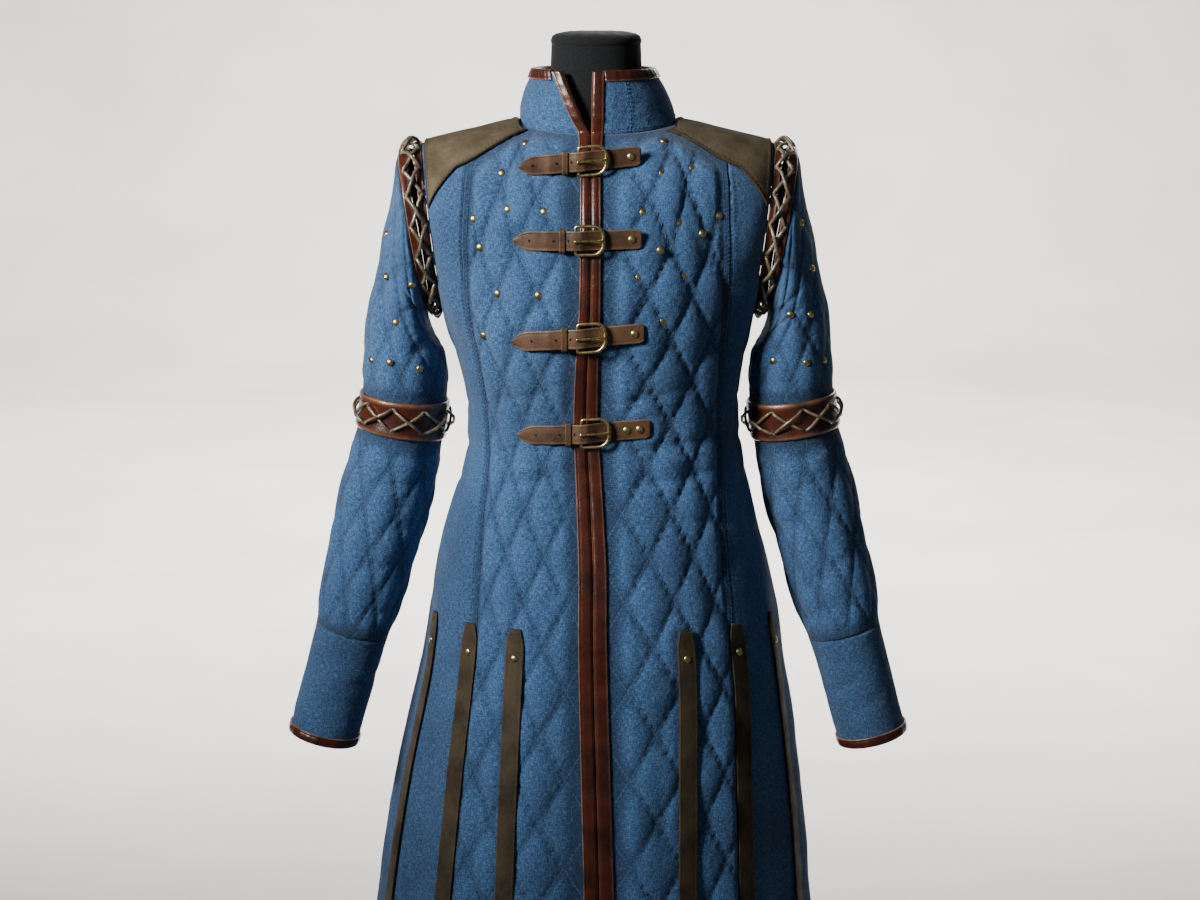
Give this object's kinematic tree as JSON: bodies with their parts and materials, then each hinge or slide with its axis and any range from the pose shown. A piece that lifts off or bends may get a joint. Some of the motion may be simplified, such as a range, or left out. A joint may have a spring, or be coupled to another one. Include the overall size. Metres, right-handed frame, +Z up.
{
  "type": "gambeson on a dress form",
  "caption": "Quilted blue canvas gambeson with leather trim, buckled straps and laced sleeves, worn by a limbless dress form on a pole stand.",
  "frame": {"origin": "centre of the underside of the stand's round base", "axes": "+Z up along the pole, -Y out of the coat's front, +X towards the viewer's right"},
  "size_m": [0.6992, 0.4373, 1.533],
  "materials": {
    "blue_canvas": "heathered blue canvas, padded and quilted, matt",
    "red_brown_leather": "glossy red-brown leather",
    "olive_leather": "matt olive-brown leather",
    "strap_leather": "dark brown strap leather, lightly waxed",
    "antique_brass": "antique brass, worn bright on the edges",
    "bronze_thong": "dark bronze-grey leather thong",
    "black_jersey": "black jersey cover",
    "dark_steel": "satin black paint"
  },
  "bodies": {
    "root": {"front_left": "blue_canvas", "front_right": "blue_canvas", "side_left": "blue_canvas", "side_right": "blue_canvas", "back": "blue_canvas", "collar": "blue_canvas", "upper_sleeve_left": "blue_canvas", "upper_sleeve_right": "blue_canvas", "lower_sleeve_left": "blue_canvas", "lower_sleeve_right": "blue_canvas", "forearm_left": "blue_canvas", "forearm_right": "blue_canvas", "front_binding_left": "red_brown_leather", "front_binding_right": "red_brown_leather", "collar_binding": "red_brown_leather", "armhole_strip_left": "red_brown_leather", "armhole_strip_right": "red_brown_leather", "sleeve_strip_left": "red_brown_leather", "sleeve_strip_right": "red_brown_leather", "elbow_band_left": "red_brown_leather", "elbow_band_right": "red_brown_leather", "cuff_binding_left": "red_brown_leather", "cuff_binding_right": "red_brown_leather", "shoulder_patch_left": "olive_leather", "shoulder_patch_right": "olive_leather", "skirt_strip_front_left": "olive_leather", "skirt_strip_front_right": "olive_leather", "skirt_strip_seam_left": "olive_leather", "skirt_strip_seam_right": "olive_leather", "skirt_strip_side_left": "olive_leather", "skirt_strip_side_right": "olive_leather", "skirt_strip_back_seam_left": "olive_leather", "skirt_strip_back_seam_right": "olive_leather", "skirt_strip_back_left": "olive_leather", "skirt_strip_back_right": "olive_leather", "strap_1": "strap_leather", "chape_1": "strap_leather", "keeper_1": "strap_leather", "buckle_1": "antique_brass", "strap_2": "strap_leather", "chape_2": "strap_leather", "keeper_2": "strap_leather", "buckle_2": "antique_brass", "strap_3": "strap_leather", "chape_3": "strap_leather", "keeper_3": "strap_leather", "buckle_3": "antique_brass", "strap_4": "strap_leather", "chape_4": "strap_leather", "keeper_4": "strap_leather", "buckle_4": "antique_brass", "armhole_lace_left": "bronze_thong", "armhole_lace_right": "bronze_thong", "elbow_lace_left": "bronze_thong", "elbow_lace_right": "bronze_thong", "form_torso": "black_jersey", "form_cap": "black_jersey", "form_pole": "dark_steel", "form_base": "dark_steel"}
  },
  "joints": []
}
